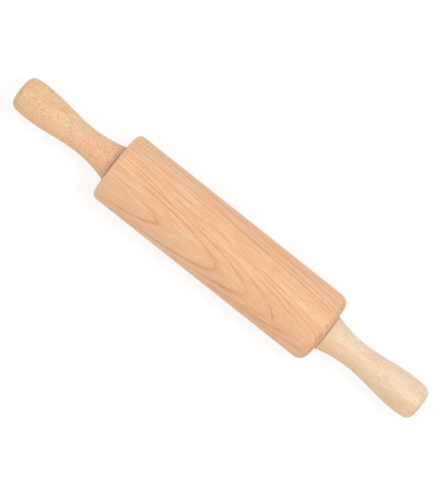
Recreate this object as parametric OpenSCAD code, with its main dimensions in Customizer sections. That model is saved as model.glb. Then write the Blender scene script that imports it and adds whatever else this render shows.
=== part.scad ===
// Wooden rolling pin: a turned barrel that runs on two ball bearings over a steel axle,
// with a turned handle screwed on each end of the axle.
// The pin lies along X, with the origin at the middle of the barrel, on its axis.
// Sizes are millimetres. Each piece is drawn for the right-hand end, and turned round for the left.

/* [Barrel] */
// Diameter of the barrel
barrel_d = 60; // [54:1:76]
// Length of the barrel, from end face to end face
barrel_len = 205.5; // [150:0.5:300]
// Rounding of the barrel's left-hand edge
left_edge_r = 5; // [3:0.5:9]
// Rounding of the barrel's right-hand edge, which is the rounder one in the photograph
right_edge_r = 8; // [3:0.5:9]

/* [Handles] */
// Length of a handle, from its base to its tip
handle_len = 91.5; // [85:0.5:120]
// Diameter of the base, which faces the barrel
handle_base_d = 31.4; // [30.8:0.2:36]
// Diameter of the neck, the thinnest place
handle_neck_d = 22.6; // [20:0.2:25]
// Diameter of the grip, the fattest place
handle_grip_d = 30.4; // [27:0.2:34]
// Distance of the neck from the base
neck_pos = 29; // [24:0.5:34]
// Distance of the fattest place from the tip
grip_to_tip = 15; // [12:0.5:20]
// Steepness of the taper from the grip to the neck, where 1 leaves no straight part in it
taper_share = 0.55; // [0.3:0.05:1]
// Share of the taper's two curves that belongs to the neck
neck_share = 0.45; // [0.3:0.05:0.7]
// Radius of the long curve from the grip towards the tip
tip_side_r = 55; // [45:1:90]
// Rounding of the tip's edge
tip_edge_r = 6.5; // [4:0.5:8]
// Radius of the dome on the tip
tip_dome_r = 56; // [45:1:90]
// Rounding of the base's edge
base_edge_r = 0.8; // [0.4:0.1:1.5]
// Running gap between a handle and the barrel
handle_gap = 0.65; // [0.5:0.05:1.5]

/* [Axle] */
// Height of the shoulders that the bearings stand against
shoulder_h = 1; // [0.8:0.1:1.4]
// Length of the threaded end inside a handle
thread_len = 42; // [34:1:60]
// Length of the undercut between the journal and the thread
undercut_len = 2; // [1:0.5:4]
// Depth of that undercut
undercut_depth = 0.7; // [0.4:0.1:1]
// Chamfer on the axle's ends and shoulders
axle_chamfer = 0.6; // [0.3:0.1:0.7]

/* [Bearings] */
// Bore of a bearing, and so the diameter of the axle's journals
bearing_bore = 8; // [7:0.5:8.5]
// Outside diameter of a bearing
bearing_od = 22; // [21.5:0.5:24]
// Width of a bearing
bearing_w = 7; // [6.5:0.5:9]
// Diameter of a ball
ball_d = 3.97; // [3.77:0.05:4.12]
// Number of balls in a bearing
ball_count = 7; // [6:1:8]
// Radius of the ball grooves, as a share of the ball's diameter
groove_share = 0.52; // [0.51:0.005:0.54]
// Depth of the ball groove in each ring
race_depth = 0.54; // [0.44:0.02:0.64]
// Chamfer on the rings' edges
ring_chamfer = 0.3; // [0.2:0.05:0.4]
// Thickness of the sheet steel in a ball cage
cage_t = 0.35; // [0.25:0.05:0.4]
// Radius of the rivets in a ball cage
rivet_r = 0.55; // [0.4:0.05:0.6]
// Height of a rivet's head above the cage
rivet_head_h = 0.3; // [0.2:0.05:0.4]
// Thickness of the sheet steel in a dust shield
shield_t = 0.3; // [0.2:0.05:0.4]
// Depth of a shield below the bearing's face
shield_inset = 0.2; // [0.1:0.05:0.3]
// Width of a shield's rim, along the axis
shield_rim_w = 0.9; // [0.7:0.05:1]

/* [Bearing cups] */
// Wall of a cup around the bearing
cup_wall = 2; // [1.5:0.1:2.3]
// Thickness of the lip that the bearing stands against
cup_lip_t = 1.5; // [1:0.1:2.5]
// Height of that lip, inwards from the cup's seat
cup_lip_h = 2; // [1.6:0.1:2.5]
// Thickness of the flange in the barrel's end face
cup_flange_t = 1.2; // [0.8:0.1:2]
// Width of the flange around the cup
cup_flange_w = 1.9; // [1:0.1:2]
// Chamfer on the cup's inner end and at its mouth
cup_lead = 0.5; // [0.3:0.1:0.7]
// Depth of the bearing below the barrel's end face
bearing_recess = 1; // [0.5:0.1:2]

/* [Inserts] */
// Outside diameter of the threaded insert in a handle
insert_od = 12; // [11.5:0.5:14]
// Length of the insert
insert_len = 25; // [18:1:30]
// Number of grip flutes round the insert
flute_count = 20; // [12:1:24]
// Radius of a flute
flute_r = 0.5; // [0.3:0.05:0.6]
// Chamfer on the insert's rims
insert_chamfer = 0.5; // [0.3:0.1:0.8]

/* [Clearances] */
// Radial clearance of the axle in the barrel's bore
axle_clearance = 1; // [0.5:0.1:1.5]
// Play between a ball and each groove
ball_play = 0.02; // [0.01:0.005:0.03]
// Clearance round a ball in its cage pocket
pocket_play = 0.1; // [0.06:0.02:0.14]
// Clearance of the cage and the shields from the rings
land_gap = 0.3; // [0.15:0.05:0.4]
// Radial clearance of parts that are pressed or glued together
press_gap = 0.02; // [0.01:0.01:0.05]
// Radial clearance of the washer, the insert and the handle's bore round the axle
slip_gap = 0.06; // [0.04:0.02:0.12]
// Depth left free beyond the axle's end in a handle
tip_relief = 2; // [1:0.5:3]

/* [Hidden] */
$fn = 96;

// Number of straight steps that stand for a long arc, a tight arc and a short one
long_steps = 12;
tight_steps = 12;
short_steps = 4;
// How far a cutting shape passes the face that it opens
over = 1;

// Places along the axis, for the right-hand end
barrel_face_x = barrel_len / 2;
handle_base_x = barrel_face_x + handle_gap;
bearing_out_x = barrel_face_x - bearing_recess;
bearing_mid_x = bearing_out_x - bearing_w / 2;
bearing_in_x = bearing_out_x - bearing_w;
cup_end_x = bearing_in_x - cup_lip_t;
axle_end_x = handle_base_x + thread_len;

// Radii from the axis outwards
journal_r = bearing_bore / 2 - press_gap;
shoulder_r = bearing_bore / 2 + shoulder_h;
pitch_r = (bearing_bore + bearing_od) / 4;
ball_r = ball_d / 2;
pocket_r = ball_r + pocket_play;
groove_r = groove_share * ball_d;
inner_race_r = pitch_r - ball_r - ball_play;
outer_race_r = pitch_r + ball_r + ball_play;
inner_land_r = inner_race_r + race_depth;
outer_land_r = outer_race_r - race_depth;
shield_seat_r = (outer_land_r + bearing_od / 2) / 2 - ring_chamfer;
shield_seat_depth = shield_inset + shield_rim_w;
cup_seat_r = bearing_od / 2 + press_gap;
cup_r = cup_seat_r + cup_wall;
flange_r = cup_r + cup_flange_w;

// Curves of a handle, in the plane of radius and distance from its base
base_r = handle_base_d / 2;
neck_r = handle_neck_d / 2;
grip_r = handle_grip_d / 2;
grip_pos = handle_len - grip_to_tip;
// The cove from the base to the neck is one arc
cove_r = (neck_pos * neck_pos + (base_r - neck_r) * (base_r - neck_r)) / (2 * (base_r - neck_r));
cove_c = [neck_r + cove_r, neck_pos];
// The base's edge is an arc between the flat base and the cove
edge_reach = cove_r + base_edge_r;
edge_c = [cove_c.x - sqrt(edge_reach * edge_reach - pow(neck_pos - base_edge_r, 2)), base_edge_r];
// Neck arc, straight taper and grip arc run into each other without a corner
rise = grip_r - neck_r;
run = grip_pos - neck_pos;
taper_angle = atan(rise / run) * (1 + taper_share);
both_arcs_r = (run * sin(taper_angle) - rise * cos(taper_angle)) / (1 - cos(taper_angle));
neck_arc_r = both_arcs_r * neck_share;
grip_arc_r = both_arcs_r - neck_arc_r;
// The tip's edge is an arc inside both the side curve and the dome
side_c = [grip_r - tip_side_r, grip_pos];
dome_c = [0, handle_len - tip_dome_r];
tip_c = circles_meet(side_c, tip_side_r - tip_edge_r, dome_c, tip_dome_r - tip_edge_r);

// Points on an arc round c, from angle a0 to angle a1
function arc(c, r, a0, a1, steps) =
    [for (i = [0 : steps]) let (a = a0 + (a1 - a0) * i / steps) c + r * [cos(a), sin(a)]];

// Direction of the vector v, in degrees
function angle_of(v) = atan2(v.y, v.x);

// The outer meeting point of two circles, round c0 and c1
function circles_meet(c0, r0, c1, r1) =
    let (
        d = norm(c1 - c0),
        u = (c1 - c0) / d,
        along = (d * d + r0 * r0 - r1 * r1) / (2 * d),
        aside = sqrt(r0 * r0 - along * along)
    )
    c0 + along * u + aside * [-u.y, u.x];

// Turns an outline about the pin's axis: the outline's X is the radius, and its Y the place along
// the pin
module turned() {
    rotate([0, 90, 0]) rotate_extrude() children();
}

// A round rod or cutting shape on the pin's axis, from x0 to x1
module rod(r, x0, x1) {
    translate([x0, 0, 0]) rotate([0, 90, 0]) cylinder(r = r, h = x1 - x0);
}

// Turns a piece of the right-hand end round to the left-hand end
module left_end() {
    rotate([0, 0, 180]) children();
}

// Rectangle between two radii and two places, with its four corners cut off
module chamfered(r0, r1, x0, x1, c) {
    polygon([
        [r0 + c, x0], [r1 - c, x0], [r1, x0 + c], [r1, x1 - c],
        [r1 - c, x1], [r0 + c, x1], [r0, x1 - c], [r0, x0 + c]
    ]);
}

// Barrel

module barrel_outline() {
    r = barrel_d / 2;
    left_c = [r - left_edge_r, left_edge_r - barrel_face_x];
    right_c = [r - right_edge_r, barrel_face_x - right_edge_r];
    polygon(concat(
        [[0, -barrel_face_x]],
        arc(left_c, left_edge_r, -90, 0, tight_steps),
        arc(right_c, right_edge_r, 0, 90, tight_steps),
        [[0, barrel_face_x]]
    ));
}

// The stepped pocket that a bearing cup is pressed into
module cup_pocket() {
    rod(cup_r + press_gap, cup_end_x, barrel_face_x + over);
    rod(flange_r + press_gap, barrel_face_x - cup_flange_t, barrel_face_x + over);
}

module barrel() {
    color("burlywood")
    difference() {
        turned() barrel_outline();
        rod(shoulder_r + axle_clearance, -barrel_face_x, barrel_face_x);
        cup_pocket();
        left_end() cup_pocket();
    }
}

// Axle

module axle_outline() {
    c = axle_chamfer;
    thin = journal_r - undercut_depth;
    half = [
        [shoulder_r, bearing_in_x - c], [shoulder_r - c, bearing_in_x],
        [journal_r, bearing_in_x], [journal_r, handle_base_x],
        [thin, handle_base_x], [thin, handle_base_x + undercut_len],
        [journal_r, handle_base_x + undercut_len],
        [journal_r, axle_end_x - c], [journal_r - c, axle_end_x], [0, axle_end_x]
    ];
    last = len(half) - 1;
    polygon(concat(half, [for (i = [last : -1 : 0]) [half[i].x, -half[i].y]]));
}

module axle() {
    color("silver")
    turned() axle_outline();
}

// Handles

module handle_outline() {
    edge_end = angle_of(cove_c - edge_c);
    tip_start = angle_of(tip_c - side_c);
    tip_end = angle_of(tip_c - dome_c);
    polygon(concat(
        [[0, 0]],
        arc(edge_c, base_edge_r, -90, edge_end, short_steps),
        arc(cove_c, cove_r, edge_end - 180, -180, long_steps),
        arc([neck_r + neck_arc_r, neck_pos], neck_arc_r, 180, 180 - taper_angle, long_steps),
        arc([grip_r - grip_arc_r, grip_pos], grip_arc_r, -taper_angle, 0, long_steps),
        arc(side_c, tip_side_r, 0, tip_start, short_steps),
        arc(tip_c, tip_edge_r, tip_start, tip_end, tight_steps),
        arc(dome_c, tip_dome_r, tip_end, 90, short_steps)
    ));
}

// The stepped blind bore for the insert and the axle's end
module handle_bore() {
    rod(insert_od / 2 + press_gap, -over, insert_len);
    rod(bearing_bore / 2 + slip_gap, 0, thread_len + tip_relief);
}

module handle() {
    translate([handle_base_x, 0, 0])
    difference() {
        turned() handle_outline();
        handle_bore();
    }
}

module right_handle() {
    color("wheat") handle();
}

module left_handle() {
    color("tan") left_end() handle();
}

// Threaded brass inserts

module insert() {
    r = insert_od / 2;
    translate([handle_base_x, 0, 0])
    difference() {
        turned() chamfered(bearing_bore / 2 + slip_gap, r, 0, insert_len, insert_chamfer);
        for (i = [0 : flute_count - 1])
            rotate([(i + 0.5) * 360 / flute_count, 0, 0])
            translate([0, r, 0])
            rod(flute_r, -over, insert_len + over);
    }
}

module right_insert() {
    color("goldenrod") insert();
}

module left_insert() {
    color("goldenrod") left_end() insert();
}

// Steel washers that hold each handle off the barrel

module washer() {
    turned()
    chamfered(
        bearing_bore / 2 + slip_gap, inner_land_r - ring_chamfer,
        bearing_out_x, handle_base_x, ring_chamfer / 2
    );
}

module right_washer() {
    color("silver") washer();
}

module left_washer() {
    color("silver") left_end() washer();
}

// Nylon cups that hold the bearings in the barrel

module bearing_cup() {
    flange_in_x = barrel_face_x - cup_flange_t;
    turned()
    polygon([
        [cup_seat_r - cup_lip_h, cup_end_x],
        [cup_r - cup_lead, cup_end_x], [cup_r, cup_end_x + cup_lead],
        [cup_r, flange_in_x], [flange_r, flange_in_x],
        [flange_r, barrel_face_x], [cup_seat_r + cup_lead, barrel_face_x],
        [cup_seat_r, barrel_face_x - cup_lead], [cup_seat_r, bearing_in_x],
        [cup_seat_r - cup_lip_h, bearing_in_x]
    ]);
}

module right_bearing_cup() {
    color("ivory") bearing_cup();
}

module left_bearing_cup() {
    color("ivory") left_end() bearing_cup();
}

// Bearing rings, each with a round groove for the balls

module outer_ring() {
    seat = [shield_seat_r - outer_land_r + over, shield_seat_depth + over];
    turned()
    difference() {
        chamfered(outer_land_r, bearing_od / 2, bearing_in_x, bearing_out_x, ring_chamfer);
        translate([outer_race_r - groove_r, bearing_mid_x]) circle(r = groove_r);
        translate([outer_land_r - over, bearing_out_x - shield_seat_depth]) square(seat);
        translate([outer_land_r - over, bearing_in_x - over]) square(seat);
    }
}

module right_outer_ring() {
    color("gainsboro") outer_ring();
}

module left_outer_ring() {
    color("gainsboro") left_end() outer_ring();
}

module inner_ring() {
    turned()
    difference() {
        chamfered(bearing_bore / 2, inner_land_r, bearing_in_x, bearing_out_x, ring_chamfer);
        translate([inner_race_r + groove_r, bearing_mid_x]) circle(r = groove_r);
    }
}

module right_inner_ring() {
    color("gainsboro") inner_ring();
}

module left_inner_ring() {
    color("gainsboro") left_end() inner_ring();
}

// Balls, spaced evenly on the pitch circle

module at_each_ball() {
    for (i = [0 : ball_count - 1])
        rotate([i * 360 / ball_count, 0, 0])
        translate([bearing_mid_x, 0, pitch_r])
        children();
}

module balls() {
    at_each_ball() sphere(r = ball_r);
}

module right_balls() {
    color("lightgray") balls();
}

module left_balls() {
    color("lightgray") left_end() balls();
}

// Ribbon cages: a flat band with a round pocket at each ball, and a rivet between the pockets

module cage_band(half_width) {
    difference() {
        rod(outer_land_r - land_gap, bearing_mid_x - half_width, bearing_mid_x + half_width);
        rod(inner_land_r + land_gap, bearing_in_x, bearing_out_x);
    }
}

module ball_cage() {
    rivet_h = 2 * (cage_t + rivet_head_h);
    difference() {
        union() {
            cage_band(cage_t);
            intersection() {
                at_each_ball() sphere(r = pocket_r + cage_t);
                cage_band(bearing_w / 2);
            }
            rotate([180 / ball_count, 0, 0])
                at_each_ball()
                rod(rivet_r, -rivet_h / 2, rivet_h / 2);
        }
        at_each_ball() sphere(r = pocket_r);
    }
}

module right_ball_cage() {
    color("darkgray") ball_cage();
}

module left_ball_cage() {
    color("darkgray") left_end() ball_cage();
}

// Dust shields: a flat ring with a rim that sits in the step of the outer ring

module outboard_shield() {
    r0 = inner_land_r + land_gap;
    r1 = shield_seat_r - press_gap;
    x1 = bearing_out_x - shield_inset;
    turned()
    polygon([
        [r0, x1 - shield_t], [r1 - shield_t, x1 - shield_t],
        [r1 - shield_t, bearing_out_x - shield_seat_depth],
        [r1, bearing_out_x - shield_seat_depth], [r1, x1], [r0, x1]
    ]);
}

// The shield on the side of the barrel's middle faces the other way
module inboard_shield() {
    translate([2 * bearing_mid_x, 0, 0]) left_end() outboard_shield();
}

module right_outboard_shield() {
    color("silver") outboard_shield();
}

module left_outboard_shield() {
    color("silver") left_end() outboard_shield();
}

module right_inboard_shield() {
    color("silver") inboard_shield();
}

module left_inboard_shield() {
    color("silver") left_end() inboard_shield();
}

barrel();
axle();
left_handle();
right_handle();
left_insert();
right_insert();
left_washer();
right_washer();
left_bearing_cup();
right_bearing_cup();
left_outer_ring();
right_outer_ring();
left_inner_ring();
right_inner_ring();
left_balls();
right_balls();
left_ball_cage();
right_ball_cage();
left_outboard_shield();
right_outboard_shield();
left_inboard_shield();
right_inboard_shield();
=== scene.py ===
# The looks of a wooden rolling pin: turned wood outside, steel, nylon and brass inside.
# Everything is in metres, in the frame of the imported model. The pin lies along X.
import math
from collections import namedtuple
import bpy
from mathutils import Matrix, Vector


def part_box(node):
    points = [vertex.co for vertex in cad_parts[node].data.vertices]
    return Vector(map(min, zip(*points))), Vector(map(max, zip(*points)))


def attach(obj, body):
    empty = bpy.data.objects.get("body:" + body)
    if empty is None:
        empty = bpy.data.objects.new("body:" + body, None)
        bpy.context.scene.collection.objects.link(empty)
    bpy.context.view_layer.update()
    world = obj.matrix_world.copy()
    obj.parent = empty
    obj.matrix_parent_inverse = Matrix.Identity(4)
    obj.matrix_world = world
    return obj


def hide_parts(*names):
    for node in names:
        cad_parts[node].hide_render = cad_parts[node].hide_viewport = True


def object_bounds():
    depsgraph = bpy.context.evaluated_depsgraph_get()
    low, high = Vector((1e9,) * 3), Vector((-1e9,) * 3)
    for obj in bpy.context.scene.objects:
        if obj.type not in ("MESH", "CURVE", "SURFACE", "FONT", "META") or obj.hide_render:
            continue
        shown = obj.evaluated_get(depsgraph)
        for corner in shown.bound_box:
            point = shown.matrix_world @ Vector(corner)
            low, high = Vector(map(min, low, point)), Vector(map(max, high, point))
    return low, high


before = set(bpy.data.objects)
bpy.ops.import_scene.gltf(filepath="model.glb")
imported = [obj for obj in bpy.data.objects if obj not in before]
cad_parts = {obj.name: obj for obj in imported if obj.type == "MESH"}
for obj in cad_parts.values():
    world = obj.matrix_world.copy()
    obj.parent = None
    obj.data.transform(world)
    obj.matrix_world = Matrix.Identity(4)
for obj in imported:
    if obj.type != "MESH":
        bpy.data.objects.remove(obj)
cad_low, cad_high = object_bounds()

from types import SimpleNamespace

import bmesh
import bpy
from mathutils import Vector

MM = 0.001

# Sizes of the turned wood, as in the model
BARREL_R = 30 * MM
LEFT_EDGE_R = 5 * MM
RIGHT_EDGE_R = 8 * MM
BORE_R = 6 * MM
CUP_POCKET_R = 13.04 * MM
FLANGE_POCKET_R = 14.94 * MM
FLANGE_T = 1.2 * MM
HANDLE_LEN = 91.5 * MM
HANDLE_BASE_R = 15.7 * MM
HANDLE_NECK_R = 11.3 * MM
HANDLE_GRIP_R = 15.2 * MM
NECK_POS = 29 * MM
GRIP_POS = 76.5 * MM
# How much steeper the taper is than a straight line from neck to grip, and the neck's share of the bends
TAPER_SHARE = 0.55
NECK_SHARE = 0.45
TIP_SIDE_R = 55 * MM
TIP_EDGE_R = 6.5 * MM
TIP_DOME_R = 56 * MM
BASE_EDGE_R = 0.8 * MM
INSERT_BORE_R = 6.02 * MM
AXLE_BORE_R = 4.06 * MM
AXLE_BORE_DEPTH = 44 * MM

# Places that the model gives
BARREL_FACE_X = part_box("barrel")[1].x
HANDLE_BASE_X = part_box("right_handle")[0].x
CUP_END_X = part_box("right_bearing_cup")[0].x
INSERT_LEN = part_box("right_insert")[1].x - HANDLE_BASE_X
FLOOR_Z = cad_low.z

# Steps round the axis, and along the lines and arcs of a section
TURN_STEPS = 192
BARREL_SIDE_STEPS = 24
BARREL_EDGE_STEPS = 16
COVE_STEPS = 20
BEND_STEPS = 14
SHORT_STEPS = 6
# A point that is closer to the axis than this lies on it
AXIS_R = 1e-7
# An edge stays sharp where its faces turn by more than this
TURNED_SHARP = math.radians(32)
NODE_SHARP = math.radians(30)

# The photograph is 437 by 495 pixels, taken from straight above. The pin crosses it from upper left to
# lower right.
PHOTO_W, PHOTO_H = 437, 495
PIN_MIDDLE_PX = (220.7, 247.9)
PIN_SLOPE = math.radians(38.47)
MM_PER_PX = 0.7634
LENS_MM = 180.0
SENSOR_MM = 36.0
FAR_CLIP = 50

# The floor glows white to the camera and in reflections, and the rest of it is pale paper that takes the
# shadow. The world is as white to them, and lights the pin more softly.
WHITE = (1, 1, 1, 1)
PAPER = (0.9, 0.9, 0.9, 1)
FLOOR_R = 6.0
FLOOR_CORNERS = 64
FLOOR_GLOW = 1.05
FLOOR_GLOW_SHARE = 0.8
WORLD_LIGHT = 0.68


# Shapes

def arc(centre, radius, start, end, steps):
    """Points (x, r) on an arc round centre, from angle start to angle end in degrees."""
    points = []
    for i in range(steps + 1):
        a = math.radians(start + (end - start) * i / steps)
        points.append((centre[0] + radius * math.cos(a), centre[1] + radius * math.sin(a)))
    return points


def angle_from(a, b):
    """Direction from point a to point b, in degrees."""
    return math.degrees(math.atan2(b[1] - a[1], b[0] - a[0]))


def circles_meet(c0, r0, c1, r1):
    """The meeting point of two circles that lies further from the axis."""
    gap = math.dist(c0, c1)
    ux, uy = (c1[0] - c0[0]) / gap, (c1[1] - c0[1]) / gap
    along = (gap * gap + r0 * r0 - r1 * r1) / (2 * gap)
    aside = math.sqrt(r0 * r0 - along * along)
    one = (c0[0] + along * ux - aside * uy, c0[1] + along * uy + aside * ux)
    two = (c0[0] + along * ux + aside * uy, c0[1] + along * uy - aside * ux)
    return max(one, two, key=lambda p: p[1])


def line(a, b, steps):
    """Evenly spaced points from a to b, without the last one."""
    return [
        (a[0] + (b[0] - a[0]) * i / steps, a[1] + (b[1] - a[1]) * i / steps)
        for i in range(steps)
    ]


def smooth_by_angle(piece, sharp):
    """Smooth shading, with the edges sharper than an angle kept. The shape stays as it is."""
    piece.data.shade_smooth()
    piece.data.set_sharp_from_angle(angle=sharp)


def turned(name, outline, side=1):
    """A closed shape turned round the axis. The outline is a ring of points (x, r), and side -1 puts it
    at the left-hand end."""
    bm = bmesh.new()
    rings = []
    for x, r in outline:
        if r < AXIS_R:
            rings.append([bm.verts.new((side * x, 0, 0))])
            continue
        ring = []
        for j in range(TURN_STEPS):
            a = 2 * math.pi * j / TURN_STEPS
            ring.append(bm.verts.new((side * x, r * math.cos(a), r * math.sin(a))))
        rings.append(ring)
    for here, there in zip(rings, rings[1:] + rings[:1]):
        if len(here) == 1 and len(there) == 1:
            continue
        for j in range(TURN_STEPS):
            k = (j + 1) % TURN_STEPS
            corners = [
                here[j % len(here)], here[k % len(here)],
                there[k % len(there)], there[j % len(there)],
            ]
            # A ring on the axis is one point, so two corners are the same there
            bm.faces.new(list(dict.fromkeys(corners)))
    bmesh.ops.recalc_face_normals(bm, faces=bm.faces)
    mesh = bpy.data.meshes.new(name)
    bm.to_mesh(mesh)
    bm.free()
    piece = bpy.data.objects.new(name, mesh)
    bpy.context.scene.collection.objects.link(piece)
    smooth_by_angle(piece, TURNED_SHARP)
    return piece


def barrel_outline():
    """The barrel's section: rounded ends, a stepped pocket in each end, and a through bore."""
    left_edge = (LEFT_EDGE_R - BARREL_FACE_X, BARREL_R - LEFT_EDGE_R)
    right_edge = (BARREL_FACE_X - RIGHT_EDGE_R, BARREL_R - RIGHT_EDGE_R)
    flange_x = BARREL_FACE_X - FLANGE_T
    pocket = [
        (BARREL_FACE_X, FLANGE_POCKET_R), (flange_x, FLANGE_POCKET_R),
        (flange_x, CUP_POCKET_R), (CUP_END_X, CUP_POCKET_R), (CUP_END_X, BORE_R),
    ]
    points = line((left_edge[0], BARREL_R), (right_edge[0], BARREL_R), BARREL_SIDE_STEPS)[1:]
    points += arc(right_edge, RIGHT_EDGE_R, 90, 0, BARREL_EDGE_STEPS) + pocket
    points += [(-x, r) for x, r in reversed(pocket)]
    return points + arc(left_edge, LEFT_EDGE_R, 180, 90, BARREL_EDGE_STEPS)


def handle_outline():
    """A handle's section, from the tip to the bore's end: dome, tip edge, grip, taper, neck and cove."""
    # The tip's edge touches the side curve and the dome
    side_c = (GRIP_POS, HANDLE_GRIP_R - TIP_SIDE_R)
    dome_c = (HANDLE_LEN - TIP_DOME_R, 0)
    tip_c = circles_meet(side_c, TIP_SIDE_R - TIP_EDGE_R, dome_c, TIP_DOME_R - TIP_EDGE_R)
    # Grip arc, straight taper and neck arc run into each other without a corner
    rise, run = HANDLE_GRIP_R - HANDLE_NECK_R, GRIP_POS - NECK_POS
    taper = math.atan(rise / run) * (1 + TAPER_SHARE)
    arcs_r = (run * math.sin(taper) - rise * math.cos(taper)) / (1 - math.cos(taper))
    neck_r = arcs_r * NECK_SHARE
    grip_r = arcs_r - neck_r
    # The cove is one arc from the neck to the base, and the base's edge touches it
    flare = HANDLE_BASE_R - HANDLE_NECK_R
    cove_r = (NECK_POS**2 + flare**2) / (2 * flare)
    cove_c = (NECK_POS, HANDLE_NECK_R + cove_r)
    reach = math.sqrt((cove_r + BASE_EDGE_R) ** 2 - (NECK_POS - BASE_EDGE_R) ** 2)
    edge_c = (BASE_EDGE_R, cove_c[1] - reach)
    taper_deg = math.degrees(taper)
    dome_end = angle_from(dome_c, tip_c)
    side_start = angle_from(side_c, tip_c)
    edge_end = angle_from(edge_c, cove_c)
    points = arc(dome_c, TIP_DOME_R, 0, dome_end, SHORT_STEPS)
    points += arc(tip_c, TIP_EDGE_R, dome_end, side_start, BEND_STEPS)[1:]
    points += arc(side_c, TIP_SIDE_R, side_start, 90, SHORT_STEPS)[1:]
    points += arc((GRIP_POS, HANDLE_GRIP_R - grip_r), grip_r, 90, 90 + taper_deg, BEND_STEPS)[1:]
    points += arc((NECK_POS, HANDLE_NECK_R + neck_r), neck_r, taper_deg - 90, -90, BEND_STEPS)
    points += arc(cove_c, cove_r, -90, edge_end - 180, COVE_STEPS)[1:]
    points += arc(edge_c, BASE_EDGE_R, edge_end, 180, SHORT_STEPS)[1:]
    points += [(0, INSERT_BORE_R), (INSERT_LEN, INSERT_BORE_R), (INSERT_LEN, AXLE_BORE_R)]
    points += [(AXLE_BORE_DEPTH, AXLE_BORE_R), (AXLE_BORE_DEPTH, 0)]
    return [(x + HANDLE_BASE_X, r) for x, r in points]


# Tools for materials

def linear(red, green, blue):
    """A colour written as 0 to 255 on screen, as the linear colour that a shader takes."""
    channels = []
    for c in (red / 255, green / 255, blue / 255):
        channels.append(c / 12.92 if c <= 0.04045 else ((c + 0.055) / 1.055) ** 2.4)
    return (*channels, 1.0)


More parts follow.
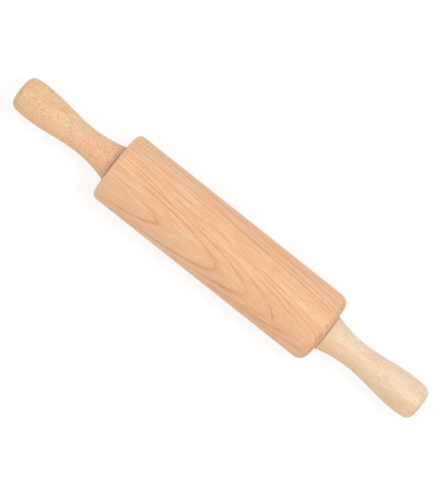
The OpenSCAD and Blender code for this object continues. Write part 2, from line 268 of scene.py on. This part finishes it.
class Nodes:
    """Builds the nodes of a material or a world. An input is a number, a colour or a node's output."""

    def __init__(self, owner):
        self.owner = owner
        owner.use_nodes = True
        self.tree = owner.node_tree
        self.tree.nodes.clear()

    def feed(self, socket, value):
        if isinstance(value, bpy.types.NodeSocket):
            self.tree.links.new(value, socket)
        elif value is not None:
            socket.default_value = value

    def put(self, kind, inputs=None, **settings):
        node = self.tree.nodes.new(kind)
        for key, value in settings.items():
            setattr(node, key, value)
        for key, value in (inputs or {}).items():
            self.feed(node.inputs[key], value)
        return node

    def place(self):
        """Where a point is in the piece's own frame, in metres."""
        return self.put("ShaderNodeTexCoord").outputs["Object"]

    def facing_along(self):
        """How far the surface faces along the pin, from -1 at the left-hand end to 1."""
        return self.split(self.put("ShaderNodeTexCoord").outputs["Normal"])["X"]

    def seen(self):
        """1 for what the camera sees, directly or in a gloss or through glass, and 0 for other light."""
        ray = self.put("ShaderNodeLightPath").outputs
        glossy_or_through = self.math("MAXIMUM", ray["Is Glossy Ray"], ray["Is Transmission Ray"])
        return self.math("MAXIMUM", ray["Is Camera Ray"], glossy_or_through)

    def math(self, operation, a, b=None, c=None):
        return self.put("ShaderNodeMath", {0: a, 1: b, 2: c}, operation=operation).outputs[0]

    def plus(self, total, *terms):
        for term in terms:
            total = self.math("ADD", total, term)
        return total

    def times(self, product, *factors):
        for factor in factors:
            product = self.math("MULTIPLY", product, factor)
        return product

    def faded(self, value, loss):
        return self.times(value, self.math("SUBTRACT", 1.0, loss))

    def swing(self, value, size):
        """Turns 0 to 1 into a swing of this size about zero."""
        return self.math("MULTIPLY_ADD", value, size, -size / 2)

    def hypotenuse(self, a, b):
        return self.math("SQRT", self.plus(self.times(a, a), self.times(b, b)))

    def poly(self, x, terms):
        """terms[0] + terms[1] x + terms[2] x squared, and so on. Terms are numbers or outputs."""
        total = terms[-1]
        for term in reversed(terms[:-1]):
            total = self.math("MULTIPLY_ADD", x, total, term)
        return total

    def vector(self, operation, a, b):
        node = self.put("ShaderNodeVectorMath", {0: a, 1: b}, operation=operation)
        return node.outputs["Value" if operation == "DOT_PRODUCT" else "Vector"]

    def split(self, vector):
        return self.put("ShaderNodeSeparateXYZ", {0: vector}).outputs

    def join(self, x, y, z):
        return self.put("ShaderNodeCombineXYZ", {0: x, 1: y, 2: z}).outputs[0]

    def noise(self, place, stretch, detail=2.0, roughness=0.5, shift=None):
        """Noise from 0 to 1, with about stretch features to each unit along each axis. A shift of the
        place gives another pattern of the same kind."""
        if shift is not None:
            place = self.vector("ADD", place, shift)
        scaled = self.vector("MULTIPLY", place, stretch)
        inputs = {"Vector": scaled, "Scale": 1.0, "Detail": detail, "Roughness": roughness}
        return self.put("ShaderNodeTexNoise", inputs).outputs["Fac"]

    def spread(self, value, low, high, to_low=0.0, to_high=1.0):
        """Maps low to high onto to_low to to_high, and stays level beyond them."""
        inputs = {"Value": value, "From Min": low, "From Max": high, "To Min": to_low, "To Max": to_high}
        return self.put("ShaderNodeMapRange", inputs, clamp=True).outputs["Result"]

    def ramp(self, value, stops, interpolation="LINEAR"):
        """Colours or numbers at stops from 0 to 1."""
        node = self.put("ShaderNodeValToRGB", {"Fac": value})
        ramp = node.color_ramp
        ramp.interpolation = interpolation
        while len(ramp.elements) < len(stops):
            ramp.elements.new(0.5)
        for element, (position, colour) in zip(ramp.elements, stops):
            element.position = position
            element.color = colour if isinstance(colour, tuple) else (colour, colour, colour, 1)
        return node.outputs["Color"]

    def profile(self, value, points):
        """A bent line through points (value, result), level beyond its ends."""
        low, high = points[0][0], points[-1][0]
        stops = [((at - low) / (high - low), result) for at, result in points]
        return self.ramp(self.spread(value, low, high), stops)

    def curve(self, value, points):
        """The same for many or close points, with results from 0 to 1."""
        low, high = points[0][0], points[-1][0]
        node = self.put("ShaderNodeFloatCurve", {"Value": self.spread(value, low, high)})
        bends = node.mapping.curves[0].points
        while len(bends) < len(points):
            bends.new(0.5, 0.5)
        for bend, (at, result) in zip(bends, points):
            bend.location = ((at - low) / (high - low), result)
            bend.handle_type = "VECTOR"
        node.mapping.update()
        return node.outputs["Value"]

    def mix(self, share, a, b, blend="MIX"):
        # A mix of colours takes its share at input 0 and its colours at 6 and 7, and gives output 2
        settings = {"data_type": "RGBA", "blend_type": blend, "clamp_factor": True}
        return self.put("ShaderNodeMix", {0: share, 6: a, 7: b}, **settings).outputs[2]

    def tint(self, share, colour, shade):
        """Darkens a colour by a shade, in full where share is 1."""
        return self.mix(share, colour, self.mix(1.0, colour, shade, "MULTIPLY"))

    def bump(self, height, distance, strength):
        inputs = {"Height": height, "Distance": distance, "Strength": strength}
        return self.put("ShaderNodeBump", inputs).outputs["Normal"]

    def finish(self, colour, roughness, normal, **constants):
        """The shader and the output. Constants are sockets by name, with _ for a space."""
        inputs = {"Base Color": colour, "Roughness": roughness, "Normal": normal}
        for name, value in constants.items():
            inputs[name.replace("_", " ")] = value
        shader = self.put("ShaderNodeBsdfPrincipled", inputs)
        out = self.put("ShaderNodeOutputMaterial", {"Surface": shader.outputs[0]})
        self.tree.nodes.active = out
        return self.owner


class Wood(Nodes):
    """What the barrel's wood and the handles' beech have in common."""

    def __init__(self, name):
        super().__init__(bpy.data.materials.new(name))

    def sanded(self, colour, place, grain_shade):
        """A fine neutral grain, and patches that are more orange or more pink."""
        grain = self.spread(self.noise(place, (750, 1200, 1200), 1.0), 0.3, 0.7)
        colour = self.tint(grain, colour, grain_shade)
        patch = self.spread(self.noise(self.place(), (60, 130, 130)), 0.3, 0.7)
        hue = self.mix(patch, linear(255, 251, 243), linear(249, 253, 255))
        return self.mix(1.0, colour, hue, "MULTIPLY")

    def end_grain_and_shade(self, colour, left, right):
        """End grain drinks in more oil: darker where the surface turns to face along the pin. Where it
        starts early on a rounded rim, the darkening is also painted shade. Each end has the facing at
        which that starts, and how much of it there is."""
        facing = self.facing_along()
        at_left = self.spread(facing, -left[0], -1, 0.0, left[1])
        at_right = self.spread(facing, right[0], 1, 0.0, right[1])
        return self.tint(self.plus(at_left, at_right), colour, linear(214, 207, 199))

    def fuzzy(self, colour, roughness, normal, fuzz):
        """The finish of sanded wood, whose pale fuzz shows where the surface turns away."""
        return self.finish(
            colour, roughness, normal,
            Sheen_Weight=fuzz, Sheen_Roughness=0.35, Sheen_Tint=linear(255, 240, 225),
        )


# The barrel's wood

# The log that the barrel was turned from. Its pith runs beside the barrel, on the side where the nested
# arches show, and moves away from it towards the right-hand end. Sizes in the log are in mm, but places
# along the barrel (x) count in units of 100 mm from its middle.
ALONG_UNIT = 100 * MM
ARCH_ANGLE = math.radians(29)
# The direction from the pin's axis to the pith, and the one that is square to it
PITH_SIDE = Vector((0, -math.sin(ARCH_ANGLE), math.cos(ARCH_ANGLE)))
PITH_ACROSS = Vector((0, math.cos(ARCH_ANGLE), math.sin(ARCH_ANGLE)))
# Terms in x of the pith's distance from the pin's axis
PITH_AWAY = (150.0, 10.4, 0.0, -1.3)
# How the rings bend out of round: terms in x and in the place beside the pith, in barrel radii
RING_BEND = (4.3, -5.1, 6.4)

# Each year's facts: the distance from the pith at which its wood starts, how dark its line is towards the
# right-hand end and towards the left-hand end, and how much more of it shows on the arches' +Y side
Year = namedtuple("Year", "start right left uneven")
YEARS = [Year(*facts) for facts in (
    (106.0, 0.3, 0.3, 0.0), (109.6, 0.4, 0.4, -0.3), (114.6, 0.65, 0.7, -0.5), (120.4, 0.95, 0.75, -0.1),
    (123.5, 0.6, 0.6, 0.1), (126.0, 0.32, 0.1, 0.0), (127.4, 0.35, 0.1, -0.5), (128.7, 0.45, 0.35, 0.1),
    (131.2, 0.5, 0.2, 0.0), (133.1, 0.3, 0.1, 0.0), (134.5, 0.05, 0.3, 0.0), (139.0, 0.1, 0.15, 0.0),
    (143.2, 0.15, 0.05, 0.0), (146.2, 0.0, 0.4, 0.0), (148.8, 0.8, 0.05, 0.0), (152.4, 0.55, 0.6, 0.0),
    (158.3, 0.55, 0.35, 0.0), (160.0, 0.5, 0.25, 0.0), (165.0, 0.75, 0.6, 0.0), (170.6, 0.5, 0.5, 0.0),
    (174.6, 0.7, 0.7, 0.0), (179.3, 0.5, 0.5, 0.0), (184.0, 0.7, 0.7, 0.0), (188.6, 0.5, 0.5, 0.0),
    (193.0, 0.5, 0.5, 0.0),
)]
LAST_YEAR_WIDTH = 4.0
# Widths are kept as shares of this one, which no year exceeds
WIDTH_UNIT = 7.0
# Right of the first place the right-hand facts hold, and left of the second the left-hand ones
FACTS_CHANGE = (0.25, -0.5)
# How dark a year's line is, by the mm since the year's start and by the mm left to its end
LINE_START = ((0.0, 0.8), (0.14, 1.1), (0.42, 0.85), (0.63, 0.4), (0.91, 0.12), (1.54, 0.0))
LINE_END = ((0.0, 0.65), (0.6, 0.0))
# The crest of an arch is this far to each side of the pith's line, and at its full within the core
CREST_REACH = 9.0
CREST_CORE = 3.0
# How much of a line is lost at its crest, by x
CREST_LOSS = ((-0.72, 0.0), (-0.6, 0.16), (-0.4, 0.16), (-0.24, 0.0), (0.1, 0.0), (0.3, 0.66))
# One ring is folded near the right-hand end: places (beside the pith, x) on the fold, how dark it is by
# the distance along x from there, and how far from the pith's line it starts to fade and ends
FOLD = ((-6.0, 0.655), (0.0, 0.603), (2.5, 0.572), (3.8, 0.545), (4.6, 0.5), (5.2, 0.44))
FOLD_LINE = ((-0.01, 0.0), (-0.002, 0.7), (0.008, 0.65), (0.019, 0.3), (0.07, 0.0))
FOLD_ENDS = (3.6, 5.4)


def place_in_log(n):
    """Where a point of the barrel is in the log: x, how far towards the pith and beside it, the place
    across the grain in metres, and the distance from the pith as the rings have it."""
    metres = n.place()
    x = n.times(n.split(metres)["X"], 1 / ALONG_UNIT)
    away = n.poly(x, PITH_AWAY)
    towards = n.vector("DOT_PRODUCT", metres, tuple(PITH_SIDE / MM))
    beside = n.vector("DOT_PRODUCT", metres, tuple(PITH_ACROSS / MM))
    # The grain drifts with the pith
    drift = n.times(n.math("SUBTRACT", away, PITH_AWAY[0]), MM)
    drift = n.vector("MULTIPLY", n.join(drift, drift, drift), tuple(PITH_SIDE))
    across = n.vector("SUBTRACT", metres, drift)
    # The rings are a little bent and uneven
    circle = n.hypotenuse(n.math("SUBTRACT", away, towards), beside)
    radii = n.math("DIVIDE", beside, BARREL_R / MM)
    bend = n.poly(radii, (n.times(x, x, RING_BEND[0]), n.times(x, RING_BEND[1]), RING_BEND[2]))
    slow = n.swing(n.noise(across, (10, 36, 36), 1.5), 0.6)
    quick = n.swing(n.noise(across, (40, 150, 150)), 0.5)
    distance = n.plus(circle, n.times(radii, bend), n.plus(slow, quick))
    return SimpleNamespace(x=x, towards=towards, beside=beside, across=across, distance=distance)


def year_at(n, distance):
    """The year whose wood is at a distance from the pith: its facts, and the mm since its start and left
    to its end."""
    starts = [year.start for year in YEARS]
    last = len(YEARS) - 1
    number = n.curve(distance, [(start, i / last) for i, start in enumerate(starts)])
    number = n.times(number, last)
    # A ramp with one step a year keeps the facts
    ends = starts[1:] + [starts[-1] + LAST_YEAR_WIDTH]
    steps = []
    for i, (year, end) in enumerate(zip(YEARS, ends)):
        width = (end - year.start) / WIDTH_UNIT
        steps.append((i / len(YEARS), (year.right, width, year.uneven / 2 + 0.5, year.left)))
    which = n.math("DIVIDE", n.plus(n.math("FLOOR", number), 0.5), len(YEARS))
    ramp = n.ramp(which, steps, "CONSTANT").node.outputs
    right, width, uneven = n.put("ShaderNodeSeparateColor", {0: ramp["Color"]}).outputs
    width = n.times(width, WIDTH_UNIT)
    since = n.times(n.math("FRACT", number), width)
    return SimpleNamespace(
        right=right, left=ramp["Alpha"], uneven=n.math("MULTIPLY_ADD", uneven, 2.0, -1.0),
        since=since, until=n.math("SUBTRACT", width, since),
    )


def year_lines(n, log):
    """How dark the lines of the years are, from 0 to about 1."""
    year = year_at(n, log.distance)
    line_dark = n.math("MAXIMUM", n.profile(year.since, LINE_START), n.profile(year.until, LINE_END))
    leftward = n.spread(log.x, *FACTS_CHANGE)
    share = n.plus(n.faded(year.right, leftward), n.times(year.left, leftward))
    side = n.spread(log.beside, -CREST_REACH, CREST_REACH, -1.0, 1.0)
    share = n.times(share, n.math("MULTIPLY_ADD", year.uneven, side, 1.0))
    # Some arches fade at their crests, and the first one also towards the left-hand end, below its crest
    near_crest = n.spread(n.math("ABSOLUTE", log.beside), CREST_CORE, CREST_REACH, 1.0, 0.0)
    share = n.faded(share, n.times(near_crest, n.profile(log.x, CREST_LOSS)))
    below_crest = n.spread(log.beside, 0.0, -CREST_REACH)
    share = n.faded(share, n.times(n.spread(log.x, -0.6, -0.95, 0.0, 0.65), below_crest))
    patch = n.spread(n.noise(log.across, (16, 50, 50), 1.0), 0.35, 0.6, 0.65, 1.1)
    share = n.times(share, patch)
    # End grain shows every ring
    facing = n.facing_along()
    at_right = n.spread(facing, 0.1, 0.6, 0.0, 0.7)
    at_left = n.spread(facing, -0.7, -1.0, 0.0, 0.5)
    share = n.math("MAXIMUM", share, n.math("MAXIMUM", at_right, at_left))
    return n.times(line_dark, share)


def fold(n, log):
    """The short dark hook where a ring is folded, on the side of the arches."""
    beyond = n.math("SUBTRACT", log.x, n.curve(log.beside, FOLD))
    ends = n.spread(n.math("ABSOLUTE", log.beside), *FOLD_ENDS, 1.0, 0.0)
    arch_side = n.spread(log.towards, 0.0, 10.0)
    return n.times(n.profile(beyond, FOLD_LINE), ends, arch_side)


def ring_wood():
    """Rings that show as nested arches and lines, with fibres, pores and hairlines along the grain."""
    n = Wood("barrel_wood")
    log = place_in_log(n)
    ring = n.math("MAXIMUM", year_lines(n, log), fold(n, log))
    # Fine growth lines follow the rings. Here all three places count in units of 100 mm.
    along_rings = n.join(log.x, n.times(log.distance, 0.01), n.times(log.beside, 0.01))
    streak = n.noise(along_rings, (1.6, 90, 7), 3.0, 0.65)
    fibre = n.noise(log.across, (45, 850, 850), 4.0, 0.65)
    pale = n.spread(n.noise(log.across, (22, 330, 330), 1.5, shift=(0.4, 0.2, 0.1)), 0.56, 0.72)
    pore = n.spread(n.noise(log.across, (160, 2600, 2600), 1.0), 0.6, 0.7)
    pore = n.times(pore, n.math("MULTIPLY_ADD", ring, 0.7, 0.15))
    cloud = n.noise(log.across, (8, 26, 26))
    tone = n.plus(
        n.math("MULTIPLY_ADD", ring, 0.56, 0.25), n.swing(streak, 0.6), n.swing(fibre, 0.4),
        n.swing(cloud, 0.3), n.times(pale, -0.1), n.times(pore, 0.3),
    )
    colour = n.ramp(tone, [
        (0.0, linear(255, 217, 182)), (0.22, linear(254, 206, 167)), (0.45, linear(249, 191, 147)),
        (0.7, linear(227, 166, 119)), (1.0, linear(191, 131, 87)),
    ])
    # Dark and pale hairlines, liveliest where the rings stand close and towards the left-hand end
    lively = n.spread(n.math("ABSOLUTE", log.beside), 4.0, 18.0, 0.35, 1.0)
    lively = n.times(lively, n.spread(log.x, 0.4, -0.4, 1.05, 1.4))
    hairline = n.noise(log.across, (15, 520, 520), 2.0, 0.6, shift=(0.1, 0.5, 0.3))
    hairline = n.spread(hairline, 0.3, 0.7, -0.5, 0.5)
    colour = n.tint(n.math("MULTIPLY_ADD", hairline, lively, 0.5), colour, linear(240, 230, 219))
    colour = n.sanded(colour, log.across, linear(242, 239, 235))
    # Painted light: the left-hand rim is made paler, as if lit more brightly, but its flat end isn't
    facing = n.facing_along()
    painted_rim_light = n.times(n.spread(facing, -0.2, -0.75, 0.0, 0.32), n.spread(facing, -1.0, -0.8))
    colour = n.mix(painted_rim_light, colour, linear(255, 226, 192))
    # Darker end grain at both ends. At the right-hand end it starts early on the rounded rim, and there it
    # is also painted shade
    colour = n.end_grain_and_shade(colour, left=(0.85, 0.4), right=(0.3, 0.5))
    roughness = n.plus(n.math("MULTIPLY_ADD", fibre, 0.16, 0.46), n.times(ring, 0.06))
    height = n.math("SUBTRACT", n.times(fibre, 0.5), pore)
    return n.fuzzy(colour, roughness, n.bump(height, 0.12 * MM, 0.5), fuzz=0.5)


# Other materials

# Width of a ring in the handles' beech
BEECH_YEAR = 2.3 * MM


def beech(name, pale, middle, dark, lower_painted_shade, flecks, rings, hairlines, shift):
    """Close, faint rings and many short dark flecks along the grain, with painted shade that makes it
    browner towards -Y, the side turned away from the key lamp. flecks, rings and hairlines say how much of
    each there is, and shift says where in the wood the handle was cut."""
    n = Wood(name)
    place = n.vector("ADD", n.place(), shift)
    parts = n.split(place)
    wander = n.swing(n.noise(place, (18, 45, 45)), 5 * MM)
    ring_at = n.plus(parts["Z"], n.times(parts["Y"], 0.45), wander)
    growth = n.math("FRACT", n.math("DIVIDE", ring_at, BEECH_YEAR))
    ring = n.ramp(growth, [(0.0, 0.2), (0.06, 1.0), (0.3, 0.4), (0.8, 0.0), (1.0, 0.2)])
    ring = n.times(ring, n.spread(n.noise(place, (30, 90, 90), 1.0), 0.4, 0.6))
    fibre = n.noise(place, (60, 900, 900), 4.0, 0.65)
    cloud = n.noise(place, (22, 60, 60))
    tone = n.plus(n.times(ring, rings), n.math("MULTIPLY_ADD", fibre, 0.6, -0.05), n.swing(cloud, 0.8))
    colour = n.ramp(tone, [(0.0, linear(*pale)), (0.45, linear(*middle)), (1.0, linear(*dark))])
    # Hairlines that waver
    ripple = n.swing(n.noise(place, (110, 110, 110), 1.0), 3 * MM)
    hairline = n.noise(place, (45, 950, 950), 2.0, 0.6, shift=n.join(0.0, ripple, ripple))
    hairline = n.times(n.spread(hairline, 0.3, 0.7), hairlines)
    colour = n.tint(hairline, colour, linear(230, 222, 210))
    # Flecks are long cells, of which some are chosen, more in some patches than in others
    stretched = n.vector("MULTIPLY", place, (560, 2000, 2000))
    cells = n.put("ShaderNodeTexVoronoi", {"Vector": stretched, "Scale": 1.0, "Randomness": 1.0}).outputs
    patchy = n.swing(n.noise(place, (60, 160, 160)), 0.9)
    chosen = n.plus(n.split(cells["Color"])["X"], patchy)
    chosen = n.spread(chosen, 1 - flecks, 1.35 - flecks)
    fleck = n.times(n.spread(cells["Distance"], 0.6, 0.2), chosen)
    colour = n.tint(fleck, colour, linear(214, 177, 150))
    # Painted shade: browner on the -Y side, which is turned away from the key lamp
    painted_shade_below = n.spread(n.split(n.place())["Y"], 2 * MM, -13 * MM)
    colour = n.tint(painted_shade_below, colour, linear(*lower_painted_shade))
    colour = n.sanded(colour, place, linear(241, 236, 230))
    colour = n.end_grain_and_shade(colour, left=(0.35, 0.2), right=(0.35, 0.2))
    roughness = n.math("MULTIPLY_ADD", fibre, 0.16, 0.44)
    height = n.math("SUBTRACT", n.times(fibre, 0.5), n.times(fleck, 0.6))
    return n.fuzzy(colour, roughness, n.bump(height, 0.10 * MM, 0.4), fuzz=0.3)


def turned_metal(name, bright, dull, roughness, groove_mm):
    """Turned or ground metal: fine rings round the axis, and faint stains."""
    n = Nodes(bpy.data.materials.new(name))
    place = n.place()
    parts = n.split(place)
    grooves_per_metre = 1000 / groove_mm
    along = n.noise(place, (grooves_per_metre, 60, 60), 3.0, 0.6)
    outwards = n.join(n.hypotenuse(parts["Y"], parts["Z"]), 0.0, 0.0)
    outwards = n.noise(outwards, (grooves_per_metre, 1, 1))
    grooves = n.times(n.plus(along, outwards), 0.5)
    stain = n.plus(n.noise(place, (180, 180, 180), 3.0), n.times(grooves, 0.4))
    colour = n.mix(n.spread(stain, 0.45, 0.9), linear(*bright), linear(*dull))
    rough = n.math("MULTIPLY_ADD", grooves, 0.22, roughness - 0.11)
    return n.finish(colour, rough, n.bump(grooves, 0.02 * MM, 0.6), Metallic=1.0)


def nylon():
    """Moulded nylon, natural colour: a fine orange-peel skin, slightly waxy."""
    n = Nodes(bpy.data.materials.new("nylon"))
    place = n.place()
    peel = n.noise(place, (1400, 1400, 1400), 3.0)
    flow = n.noise(place, (60, 60, 60))
    colour = n.mix(flow, linear(238, 233, 220), linear(226, 219, 202))
    rough = n.math("MULTIPLY_ADD", peel, 0.2, 0.34)
    return n.finish(colour, rough, n.bump(peel, 0.03 * MM, 0.4), Subsurface_Weight=0.15)


BARREL_WOOD = ring_wood()
LEFT_BEECH = beech(
    "left_handle_wood", pale=(255, 221, 183), middle=(255, 209, 169), dark=(250, 190, 146),
    lower_painted_shade=(253, 248, 236), flecks=0.5, rings=0.15, hairlines=0.45, shift=(0.0, 0.0, 0.0),
)
RIGHT_BEECH = beech(
    "right_handle_wood", pale=(255, 235, 210), middle=(255, 223, 193), dark=(253, 208, 171),
    lower_painted_shade=(250, 241, 227), flecks=0.12, rings=0.2, hairlines=0.65, shift=(0.31, 0.17, 0.23),
)
STEEL = turned_metal("steel", (205, 206, 208), (160, 158, 155), roughness=0.32, groove_mm=0.25)
BEARING_STEEL = turned_metal(
    "bearing_steel", (222, 223, 226), (186, 186, 188), roughness=0.16, groove_mm=0.12
)
PRESSED_STEEL = turned_metal(
    "pressed_steel", (208, 208, 210), (170, 168, 164), roughness=0.3, groove_mm=0.5
)
BRASS = turned_metal("brass", (222, 186, 112), (176, 132, 70), roughness=0.28, groove_mm=0.3)
NYLON = nylon()


# Pieces

def dress(piece, material):
    piece.data.materials.clear()
    piece.data.materials.append(material)


barrel = turned("turned_barrel", barrel_outline())
dress(barrel, BARREL_WOOD)
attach(barrel, "roller")
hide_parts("barrel")

for side_name, side, material in (("right", 1, RIGHT_BEECH), ("left", -1, LEFT_BEECH)):
    handle = turned(f"turned_{side_name}_handle", handle_outline(), side)
    dress(handle, material)
    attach(handle, "axle_and_handles")
    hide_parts(f"{side_name}_handle")

FINISHES = {
    "axle": STEEL, "washer": STEEL, "insert": BRASS, "bearing_cup": NYLON,
    "outer_ring": BEARING_STEEL, "inner_ring": BEARING_STEEL, "balls": BEARING_STEEL,
    "ball_cage": PRESSED_STEEL, "outboard_shield": PRESSED_STEEL, "inboard_shield": PRESSED_STEEL,
}
for name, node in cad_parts.items():
    kind = name.removeprefix("left_").removeprefix("right_")
    if kind in FINISHES:
        dress(node, FINISHES[kind])
        smooth_by_angle(node, NODE_SHARP)


# Stage, light and camera

def make_floor():
    """A white floor that keeps the pin's soft shadow."""
    bpy.ops.mesh.primitive_circle_add(
        vertices=FLOOR_CORNERS, radius=FLOOR_R, fill_type="NGON", location=(0, 0, FLOOR_Z)
    )
    floor = bpy.context.object
    floor.name = "floor"
    n = Nodes(bpy.data.materials.new("floor"))
    paper = n.put("ShaderNodeBsdfDiffuse", {"Color": PAPER}).outputs[0]
    glow = n.put("ShaderNodeEmission", {"Color": WHITE, "Strength": FLOOR_GLOW}).outputs[0]
    share = n.times(n.seen(), FLOOR_GLOW_SHARE)
    shader = n.put("ShaderNodeMixShader", {0: share, 1: paper, 2: glow}).outputs[0]
    n.put("ShaderNodeOutputMaterial", {"Surface": shader})
    dress(floor, n.owner)


def make_world():
    """White to the camera, and a softer even light on the pin."""
    world = bpy.data.worlds.new("studio")
    bpy.context.scene.world = world
    n = Nodes(world)
    strength = n.spread(n.seen(), 0.0, 1.0, WORLD_LIGHT, 1.0)
    background = n.put("ShaderNodeBackground", {"Color": WHITE, "Strength": strength})
    n.put("ShaderNodeOutputWorld", {"Surface": background.outputs[0]})


def soft_box(name, place, size, watts):
    """A square lamp that aims at the middle of the pin."""
    light = bpy.data.lights.new(name, "AREA")
    light.shape = "RECTANGLE"
    light.size = size
    light.size_y = size
    light.energy = watts
    lamp = bpy.data.objects.new(name, light)
    lamp.location = place
    lamp.rotation_euler = (-Vector(place)).to_track_quat("-Z", "Y").to_euler()
    bpy.context.scene.collection.objects.link(lamp)


def make_camera():
    """Straight above the pin, turned so that the pin crosses the picture as in the photograph."""
    pixels_long = max(PHOTO_W, PHOTO_H)
    distance = LENS_MM / SENSOR_MM * pixels_long * MM_PER_PX * MM
    camera = bpy.data.cameras.new("camera")
    camera.sensor_fit = "AUTO"
    camera.sensor_width = SENSOR_MM
    camera.lens = LENS_MM
    camera.clip_end = FAR_CLIP
    rig = bpy.data.objects.new("camera", camera)
    right = Vector((math.cos(PIN_SLOPE), math.sin(PIN_SLOPE), 0))
    up = Vector((-math.sin(PIN_SLOPE), math.cos(PIN_SLOPE), 0))
    off_right = (PIN_MIDDLE_PX[0] - PHOTO_W / 2) * MM_PER_PX * MM
    off_up = (PHOTO_H / 2 - PIN_MIDDLE_PX[1]) * MM_PER_PX * MM
    rig.location = Vector((0, 0, distance)) - right * off_right - up * off_up
    rig.rotation_euler = (0, 0, PIN_SLOPE)
    bpy.context.scene.collection.objects.link(rig)
    bpy.context.scene.camera = rig


make_floor()
make_world()
soft_box("key", place=(0.42, 0.34, 1.5), size=0.45, watts=8.2)
soft_box("fill", place=(-0.1, -0.9, 1.4), size=1.2, watts=1.5)
make_camera()
bpy.context.scene.view_settings.view_transform = "Standard"
